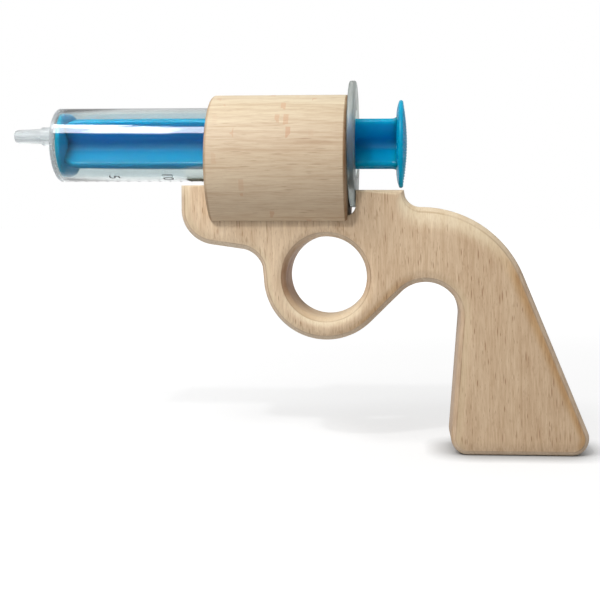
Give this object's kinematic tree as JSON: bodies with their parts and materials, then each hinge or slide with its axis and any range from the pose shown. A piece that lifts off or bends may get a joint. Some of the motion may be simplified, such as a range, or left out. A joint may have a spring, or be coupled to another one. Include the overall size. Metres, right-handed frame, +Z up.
{
  "type": "water squirter",
  "caption": "Toy water pistol: a flat beech frame with finger ring and grip carries a bored beech drum, which holds a clear syringe with a blue plunger that draws and squirts water.",
  "frame": {"origin": "centre of the grip's flat foot, on the surface it stands on", "axes": "+X from the nozzle towards the back of the grip, along the syringe; +Z up; Y across the board, with Y = 0 at its middle"},
  "size_m": [0.1704, 0.04, 0.1091],
  "materials": {
    "frame": "sanded bare beech",
    "drum": "turned and sanded bare beech",
    "syringe_barrel": "clear moulded plastic",
    "plunger": "smooth moulded plastic"
  },
  "bodies": {
    "body": {"frame": "frame", "drum": "drum"},
    "barrel": {"syringe_barrel": "syringe_barrel"},
    "plunger": {"plunger": "plunger"}
  },
  "joints": [
    {"name": "syringe_turn", "type": "hinge", "parent": "body", "child": "barrel", "pos_m": [-0.0699, 0, 0.0905], "axis": [1, 0, 0], "continuous": true},
    {"name": "plunger_slide", "type": "slide", "parent": "barrel", "child": "plunger", "axis": [1, 0, 0], "range_m": [0, 0.076]}
  ]
}
